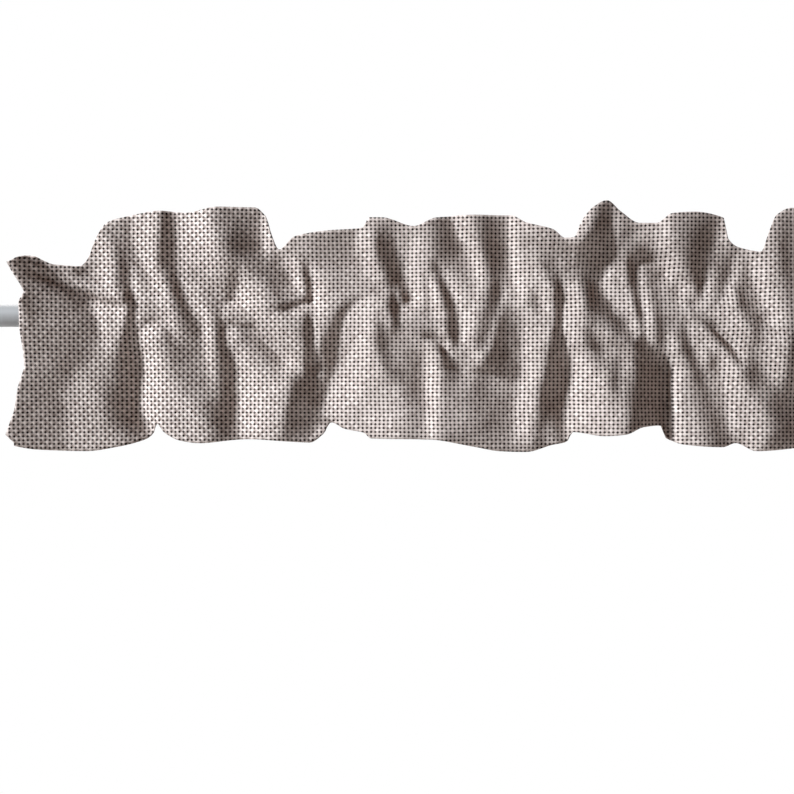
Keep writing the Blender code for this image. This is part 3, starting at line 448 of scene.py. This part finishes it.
def clothLayers(columns, x, heights):
    # the cloth's front and back, and in the pocket the two inner faces that the rod passes between
    v = valance
    front = np.stack((x, -clothForward(x, heights), heights), axis=2)
    normals = gridNormals(front)
    thickness = np.full(len(heights), float(v["thickness"]))
    fade = v["seamFade"]
    for seam in (seamTop, seamLow):
        for row in range(seam - fade + 1, seam + fade):
            thickness[row] += (v["seamThickness"] - v["thickness"]) * (1 - abs(row - seam) / fade)
    back = front - normals * thickness[:, None, None]
    innerFront = front - normals * v["thickness"]
    innerBack = back.copy()
    upper, lower = -back[seamTop, :, 1], -back[seamLow, :, 1]
    for row in range(seamTop + 1, seamLow):
        behind = pocketBack(columns, heights[row, 0], upper, lower)
        back[row] = np.stack((x[row], -behind, heights[row]), axis=1)
    backNormals = gridNormals(back)
    for row in range(seamTop + 1, seamLow):
        innerBack[row] = back[row] + backNormals[row] * v["thickness"]
    for row, inside in zip((seamTop, seamLow), v["seamInside"]):
        meeting = (front[row] + back[row]) / 2
        meeting[:, 2] += inside
        innerFront[row] = innerBack[row] = meeting
    return front, back, innerFront, innerBack


def clothFaces(width, last, starts):
    # four layers of points: front, back, and the pocket's inner front and inner back
    def at(layer, row, column):
        if layer == 3 and row in (seamTop, seamLow):
            layer = 2  # at a seam the inner faces share their points
        firstRow = (0, 0, seamTop, seamTop + 1)[layer]
        return int(starts[layer] + (row - firstRow) * width + column)

    faces = []
    for i in range(width - 1):
        for r in range(last):
            faces.append((at(0, r, i), at(0, r + 1, i), at(0, r + 1, i + 1), at(0, r, i + 1)))
            faces.append((at(1, r, i), at(1, r, i + 1), at(1, r + 1, i + 1), at(1, r + 1, i)))
        for r in range(seamTop, seamLow):
            faces.append((at(2, r, i), at(2, r, i + 1), at(2, r + 1, i + 1), at(2, r + 1, i)))
            faces.append((at(3, r, i), at(3, r + 1, i), at(3, r + 1, i + 1), at(3, r, i + 1)))
        faces.append((at(0, 0, i), at(0, 0, i + 1), at(1, 0, i + 1), at(1, 0, i)))
        faces.append((at(0, last, i), at(1, last, i), at(1, last, i + 1), at(0, last, i + 1)))
    for i, turned in ((0, False), (width - 1, True)):
        caps = []
        for r in range(last):
            if seamTop <= r < seamLow:
                caps.append((at(0, r, i), at(2, r, i), at(2, r + 1, i), at(0, r + 1, i)))
                caps.append((at(3, r, i), at(1, r, i), at(1, r + 1, i), at(3, r + 1, i)))
            else:
                caps.append((at(0, r, i), at(1, r, i), at(1, r + 1, i), at(0, r + 1, i)))
        caps.append((at(0, seamTop, i), at(1, seamTop, i), at(2, seamTop, i)))
        caps.append((at(0, seamLow, i), at(2, seamLow, i), at(1, seamLow, i)))
        faces += [face[::-1] if turned else face for face in caps]
    return faces


def addWeaveMap(data, x, heights, back):
    # the weave runs level and upright on the cloth as it hangs, and goes on over the rod behind
    downBack = np.zeros_like(heights)
    downBack[1:] = np.cumsum(np.linalg.norm(np.diff(back, axis=0)[..., 1:], axis=2), axis=0)
    behind = heights[0] - downBack
    pocket, insidePocket = slice(seamTop, seamLow + 1), slice(seamTop + 1, seamLow)
    across = (x, x, x[pocket], x[insidePocket])
    upward = (heights, behind, heights[pocket], behind[insidePocket])
    spread = np.stack([np.concatenate([layer.ravel() for layer in way]) for way in (across, upward)], axis=1)
    corner = np.empty(len(data.loops), dtype=np.int32)
    data.loops.foreach_get("vertex_index", corner)
    weaveMap = data.uv_layers.new(name="weave")
    weaveMap.data.foreach_set("uv", (spread[corner] * mm).astype(np.float32).ravel())


def buildValance():
    columns, x, heights = clothGrid()
    front, back, innerFront, innerBack = clothLayers(columns, x, heights)
    width = len(columns)
    layers = (front, back, innerFront[seamTop:seamLow + 1], innerBack[seamTop + 1:seamLow])
    starts = np.cumsum([0] + [len(layer) * width for layer in layers])
    points = np.concatenate([layer.reshape(-1, 3) for layer in layers]) * mm

    data = bpy.data.meshes.new("valanceCloth")
    data.from_pydata([tuple(point) for point in points], [], clothFaces(width, len(heights) - 1, starts))
    data.update()
    cloth = bpy.data.objects.new("valanceCloth", data)
    bpy.context.collection.objects.link(cloth)
    addWeaveMap(data, x, heights, back)

    bpy.ops.object.select_all(action="DESELECT")
    bpy.context.view_layer.objects.active = cloth
    cloth.select_set(True)
    bpy.ops.object.mode_set(mode="EDIT")
    bpy.ops.mesh.select_all(action="SELECT")
    bpy.ops.mesh.normals_make_consistent(inside=False)
    bpy.ops.object.mode_set(mode="OBJECT")
    bpy.ops.object.shade_smooth()
    cloth.select_set(False)
    area = (np.linalg.norm(np.diff(front, axis=1)[:-1], axis=2)
            * np.linalg.norm(np.diff(front, axis=0)[:, :-1, 1:], axis=2)).sum() * mm * mm
    print("cloth:", len(data.vertices), "points,", round(area, 3), "square metres at the front")
    return cloth


def linear(hexColour):
    # an sRGB hex value as the linear colour that a shader takes
    values = [int(hexColour[k:k + 2], 16) / 255 for k in (1, 3, 5)]
    return (*[c / 12.92 if c <= 0.04045 else ((c + 0.055) / 1.055) ** 2.4 for c in values], 1)


def addNode(tree, kind, settings=None, **inputs):
    # one node with its settings; an input is a value, another node's output, or a node for its first one
    node = tree.nodes.new(kind)
    for name, value in (settings or {}).items():
        setattr(node, name, value)
    for name, value in inputs.items():
        numbered = name[0] == "i" and name[1:].isdigit()
        socket = node.inputs[int(name[1:]) if numbered else name.replace("_", " ")]
        if isinstance(value, bpy.types.Node):
            value = value.outputs[0]
        if isinstance(value, bpy.types.NodeSocket):
            tree.links.new(value, socket)
        else:
            socket.default_value = value
    return node


def newMaterial(name):
    made = bpy.data.materials.new(name)
    made.use_nodes = True
    return made, made.node_tree, made.node_tree.nodes["Principled BSDF"]


weave = {
    "thread": (5.23, 4.9),  # from one upright yarn to the next, and from one level yarn to the next
    "yarnLight": "#d9c7bd",
    "yarnDark": "#7d6b62",
    # near-black painted shade for the pinhole between four yarns
    "pinholeShade": "#120503",
    "tone": 0.42,  # the yarn's own shade between dark and light
    "crownHighlight": 0.25,  # how much paler it is painted along its crown: a painted highlight there, and painted shade where the yarn dips beside the next
    "slub": 0.18,  # how much the shade varies along a yarn
    "unevenYarn": 0.3,  # and from one crossing to the next
    "fuzz": 0.5,  # and with the loose fibres
    "unevenGaps": 0.15,  # how far some gaps are filled by fibres
    "gapOpen": 0.26,  # how near to the middle between four yarns the painted shade in the gap is at its darkest
    "gapEdge": 0.09,  # and how near it starts
    # x, and how strong the painted light and shade on the flanks of the yarn on top is there: most at the
    # left end
    "paintedFlankLight": ((300, 0.41), (520, 0.12), (900, 0.12), (970, 0.22)),
    "litFlankShift": (1.6, 0.85),  # from the middle of a crossing to where the painted highlight sits on its yarn's flank, as it rises into the light
    "relief": 1.0,  # how deep the gaps look
    "reliefStrength": 0.7,
    "crossing": 0.12,  # how much higher the yarn on top stands than the one that it crosses
    "fuzzRelief": 0.15,
    "sway": (2.2, 1.6),  # how far in all, from side to side, the rows of yarn wander across and up
    "swayLength": 500 / 9,  # and over what length
    "slubLength": 50 / 3,  # of one paler or darker stretch of a yarn, which is one yarn wide
    "slubScale": 0.9,  # below one, a stretch is that much longer and shared with the yarn beside it
    "fibre": 10 / 9,  # loose fibres are finer, and are drawn as coarse as they need to show
    "roughness": 0.95,
    "specular": 0.2,
}


def wovenCloth():
    # Coarse plain weave of soft linen-like yarn: matt, with a dark pinhole of painted shade where four yarns
    # meet, and painted light and shade on the yarns' crowns and flanks
    made, tree, shader = newMaterial("coarse plain-weave linen")
    w = weave
    thread = [size * mm for size in w["thread"]]

    calc, flat, rgb = "ShaderNodeMath", {"noise_dimensions": "2D"}, {"data_type": "RGBA"}
    plus, minus, times = {"operation": "ADD"}, {"operation": "SUBTRACT"}, {"operation": "MULTIPLY"}
    timesPlus, sine, size = {"operation": "MULTIPLY_ADD"}, {"operation": "SINE"}, {"operation": "ABSOLUTE"}

    # the rows of yarn wander a little
    uv = addNode(tree, "ShaderNodeUVMap", {"uv_map": "weave"})
    drift = addNode(tree, "ShaderNodeTexNoise", flat, Vector=uv, Scale=1 / (w["swayLength"] * mm), Detail=1.0)
    centred = addNode(tree, "ShaderNodeVectorMath", minus, i0=drift.outputs["Color"], i1=(0.5, 0.5, 0.5))
    moved = addNode(tree, "ShaderNodeVectorMath", timesPlus, i0=centred,
                    i1=(w["sway"][0] * mm, w["sway"][1] * mm, 0.0), i2=uv)
    spot = addNode(tree, "ShaderNodeSeparateXYZ", Vector=moved).outputs

    # a wave across and a wave up make the upright and the level yarns, and shifted ones the painted light and
    # shade on their flanks
    wave, yarn, beside, litFlank, place = [], [], [], [], []
    for k in (0, 1):
        turn = math.pi / thread[k]
        wave.append(addNode(tree, calc, sine, i0=addNode(tree, calc, times, i0=spot[k], i1=turn)))
        yarn.append(addNode(tree, calc, size, i0=wave[k]))
        beside.append(addNode(tree, calc, minus, i0=1.0, i1=yarn[k]))
        shifted = addNode(tree, calc, plus, i0=spot[k], i1=w["litFlankShift"][k] * mm)
        litFlank.append(addNode(tree, calc, sine, i0=addNode(tree, calc, times, i0=shifted, i1=turn)))
        place.append(addNode(tree, calc, {"operation": "DIVIDE"}, i0=spot[k], i1=thread[k]))

    # the gap between four yarns, and which of two crossing yarns lies on top
    pinhole = addNode(tree, calc, times, i0=beside[0], i1=beside[1])
    sides = addNode(tree, calc, times, i0=wave[0], i1=wave[1])
    stronger = addNode(tree, calc, minus, i0=yarn[0], i1=yarn[1])
    onTop = addNode(tree, calc, times, i0=sides, i1=stronger)
    level = addNode(tree, calc, minus, i0=1.0, i1=pinhole)
    height = addNode(tree, calc, timesPlus, i0=onTop, i1=w["crossing"], i2=level)

    # each yarn is uneven along its length, and fibres stand out of it
    lengthwise = 1 / (w["slubLength"] * mm)
    slubs = []
    for scale in ((1 / thread[0], lengthwise, 1.0), (lengthwise, 1 / thread[1], 1.0)):
        drawn = addNode(tree, "ShaderNodeMapping", Vector=moved, Scale=scale)
        slubs.append(addNode(tree, "ShaderNodeTexNoise", flat, Vector=drawn, Scale=w["slubScale"],
                             Detail=2.0))
    slub = addNode(tree, calc, times, i0=addNode(tree, calc, plus, i0=slubs[0], i1=slubs[1]), i1=0.5)
    fuzz = addNode(tree, "ShaderNodeTexNoise", flat, Vector=uv, Scale=1 / (w["fibre"] * mm), Detail=2.0)

    # each gap and each crossing has its own shade, as yarn of uneven thickness gives
    chance = []
    for nearest in ({"operation": "ROUND"}, {"operation": "FLOOR"}):
        cell = addNode(tree, "ShaderNodeCombineXYZ", X=addNode(tree, calc, nearest, i0=place[0]),
                       Y=addNode(tree, calc, nearest, i0=place[1]))
        chance.append(addNode(tree, "ShaderNodeTexWhiteNoise", flat, Vector=cell).outputs["Value"])

    # how strongly the painted light and shade shows on the flanks of a yarn that rises over another, from
    # left to right
    paintedFlankStrength = w["paintedFlankLight"][0][1]
    for (fromX, before), (toX, after) in zip(w["paintedFlankLight"], w["paintedFlankLight"][1:]):
        change = addNode(tree, "ShaderNodeMapRange", Value=spot[0], From_Min=fromX * mm, From_Max=toX * mm,
                         To_Min=0.0, To_Max=after - before)
        paintedFlankStrength = addNode(tree, calc, plus, i0=change, i1=paintedFlankStrength)

    # painted highlight along each yarn's crown, painted shade where it dips between yarns
    crownHighlight = addNode(tree, calc, times, i0=yarn[0], i1=yarn[1])
    tone = addNode(tree, calc, timesPlus, i0=crownHighlight, i1=w["crownHighlight"], i2=w["tone"])
    for uneven, share in ((slub, w["slub"]), (fuzz, w["fuzz"])):
        fromMean = addNode(tree, calc, minus, i0=uneven, i1=0.5)
        tone = addNode(tree, calc, timesPlus, i0=fromMean, i1=share, i2=tone)
    # painted light on one flank of each yarn that rises over another, painted shade on its other flank
    litFlanks = addNode(tree, calc, times, i0=litFlank[0], i1=litFlank[1])
    tone = addNode(tree, calc, timesPlus, i0=litFlanks, i1=paintedFlankStrength, i2=tone)
    fromMean = addNode(tree, calc, minus, i0=chance[1], i1=0.5)
    tone = addNode(tree, calc, {"operation": "MULTIPLY_ADD", "use_clamp": True},
                   i0=fromMean, i1=w["unevenYarn"], i2=tone)

    # the yarn's colour mixes its own unevenness with the painted light and shade of its crowns and flanks
    yarnColour = addNode(tree, "ShaderNodeMix", rgb, Factor=tone,
                         i6=linear(w["yarnDark"]), i7=linear(w["yarnLight"]))
    # painted shade in each pinhole, lightened at random where fibres partly fill it
    solid = addNode(tree, "ShaderNodeMapRange", {"interpolation_type": "SMOOTHSTEP"},
                    Value=pinhole, From_Min=w["gapOpen"], From_Max=w["gapEdge"])
    fibres = addNode(tree, calc, times, i0=chance[0], i1=w["unevenGaps"])
    filled = addNode(tree, calc, {"operation": "MAXIMUM"}, i0=solid, i1=fibres)
    colour = addNode(tree, "ShaderNodeMix", rgb, Factor=filled, i6=linear(w["pinholeShade"]), i7=yarnColour.outputs[2])
    tree.links.new(colour.outputs[2], shader.inputs["Base Color"])
    shader.inputs["Roughness"].default_value = w["roughness"]
    shader.inputs["Specular IOR Level"].default_value = w["specular"]
    relief = addNode(tree, calc, timesPlus, i0=fuzz, i1=w["fuzzRelief"], i2=height)
    bump = addNode(tree, "ShaderNodeBump", Height=relief, Distance=w["relief"] * mm,
                   Strength=w["reliefStrength"])
    tree.links.new(bump.outputs[0], shader.inputs["Normal"])
    return made


rodFinish = {
    "paint": "#989390",
    "paintInMarks": "#8f8a87",
    "smoothest": 0.44,
    "roughest": 0.58,
    "metallic": 0.0,  # the paint covers the metal
    "markWidth": 1.0,  # marks from drawing the tube: about 0.25 really, drawn as coarse as they need to show
    "markStretch": 50,  # how many times longer than wide they are
    "markDepth": 0.02,
    "markStrength": 0.4,
}


def paintedRod():
    # Drawn metal tube with a thin grey coat: smooth, with faint marks along its length
    made, tree, shader = newMaterial("satin grey painted metal")
    r = rodFinish
    place = addNode(tree, "ShaderNodeTexCoord").outputs["Object"]
    stretched = addNode(tree, "ShaderNodeMapping", Vector=place, Scale=(1 / r["markStretch"], 1.0, 1.0))
    marks = addNode(tree, "ShaderNodeTexNoise", Vector=stretched, Scale=1 / (r["markWidth"] * mm), Detail=3.0)
    tint = addNode(tree, "ShaderNodeMix", {"data_type": "RGBA"}, Factor=marks,
                   i6=linear(r["paintInMarks"]), i7=linear(r["paint"]))
    tree.links.new(tint.outputs[2], shader.inputs["Base Color"])
    rough = addNode(tree, "ShaderNodeMapRange", Value=marks, To_Min=r["smoothest"], To_Max=r["roughest"])
    tree.links.new(rough.outputs[0], shader.inputs["Roughness"])
    shader.inputs["Metallic"].default_value = r["metallic"]
    bump = addNode(tree, "ShaderNodeBump", Height=marks, Distance=r["markDepth"] * mm,
                   Strength=r["markStrength"])
    tree.links.new(bump.outputs[0], shader.inputs["Normal"])
    return made


studio = {
    "lens": 100,
    "sensor": 36,
    "photoWidth": 794,
    "millimetresPerPixel": 1.26,
    "photoLeft": 40,  # x at the photo's left edge
    "photoMiddleHeight": -102.9,
    "clothPlane": -15,
    # from here on in metres
    "floorDrop": 1.15,
    "floorSize": 3.0,
    "floorColour": "#efeeec",
    "floorRoughness": 0.9,
    "aimHeight": -0.02,
    # name, place from the cloth's middle, size, power, colour; the key is a little cool, as daylight, and
    # the taupe yarn looks grey in it and warm in the folds
    "lights": (
        ("keyLight", (-3.85, -2.1, 2.35), 0.9, 625, "#e6f4ff"),
        ("fillLight", (0.6, -2.6, 0.5), 2.0, 2, "#ffffff"),
        ("backLight", (-0.4, 2.0, 2.0), 0.9, 60, "#ffffff"),
    ),
    "sky": 0.09,
    "skyColour": "#ffd8c8",
}


def addSoftLight(middle, name, place, size, power, colour):
    lamp = bpy.data.objects.new(name, bpy.data.lights.new(name, "AREA"))
    lamp.data.shape = "SQUARE"
    lamp.data.size = size
    lamp.data.energy = power
    lamp.data.color = linear(colour)[:3]
    lamp.location = (middle + place[0], place[1], place[2])
    aim = np.array((middle, 0, studio["aimHeight"])) - np.array(lamp.location)
    tilt = math.acos(-aim[2] / np.linalg.norm(aim))
    lamp.rotation_euler = (tilt, 0, math.atan2(aim[1], aim[0]) - math.pi / 2)
    bpy.context.collection.objects.link(lamp)


def setUpStudio():
    s = studio
    fieldWidth = s["photoWidth"] * s["millimetresPerPixel"] * mm
    middle = s["photoLeft"] * mm + fieldWidth / 2
    distance = fieldWidth * s["lens"] / s["sensor"]
    camera = bpy.data.objects.new("camera", bpy.data.cameras.new("camera"))
    camera.data.lens = s["lens"]
    camera.data.sensor_width = s["sensor"]
    camera.location = (middle, s["clothPlane"] * mm - distance, s["photoMiddleHeight"] * mm)
    camera.rotation_euler = (math.pi / 2, 0, 0)
    bpy.context.collection.objects.link(camera)
    bpy.context.scene.camera = camera

    bpy.ops.mesh.primitive_plane_add(size=s["floorSize"], location=(middle, 0, -s["floorDrop"]))
    floor = bpy.context.object
    floor.name = "floor"
    pale, _, shader = newMaterial("matt pale floor")
    shader.inputs["Base Color"].default_value = linear(s["floorColour"])
    shader.inputs["Roughness"].default_value = s["floorRoughness"]
    floor.data.materials.append(pale)

    for light in s["lights"]:
        addSoftLight(middle, *light)

    # white behind the valance, and a faint warm light from all round
    world = bpy.data.worlds.new("white studio")
    bpy.context.scene.world = world
    world.use_nodes = True
    tree = world.node_tree
    background = tree.nodes["Background"]
    seen = addNode(tree, "ShaderNodeLightPath").outputs["Is Camera Ray"]
    strength = addNode(tree, "ShaderNodeMapRange", Value=seen, To_Min=s["sky"], To_Max=1.0)
    colour = addNode(tree, "ShaderNodeMix", {"data_type": "RGBA"}, Factor=seen,
                     i6=linear(s["skyColour"]), i7=(1, 1, 1, 1))
    tree.links.new(colour.outputs[2], background.inputs["Color"])
    tree.links.new(strength.outputs[0], background.inputs["Strength"])
    bpy.context.scene.view_settings.view_transform = "Standard"


cloth = buildValance()
cloth.data.materials.append(wovenCloth())
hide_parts("valance")
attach(cloth, "root")

rod = bpy.data.objects["rod"]
rod.data.materials.clear()
rod.data.materials.append(paintedRod())
print("materials done")

setUpStudio()
print("studio done")
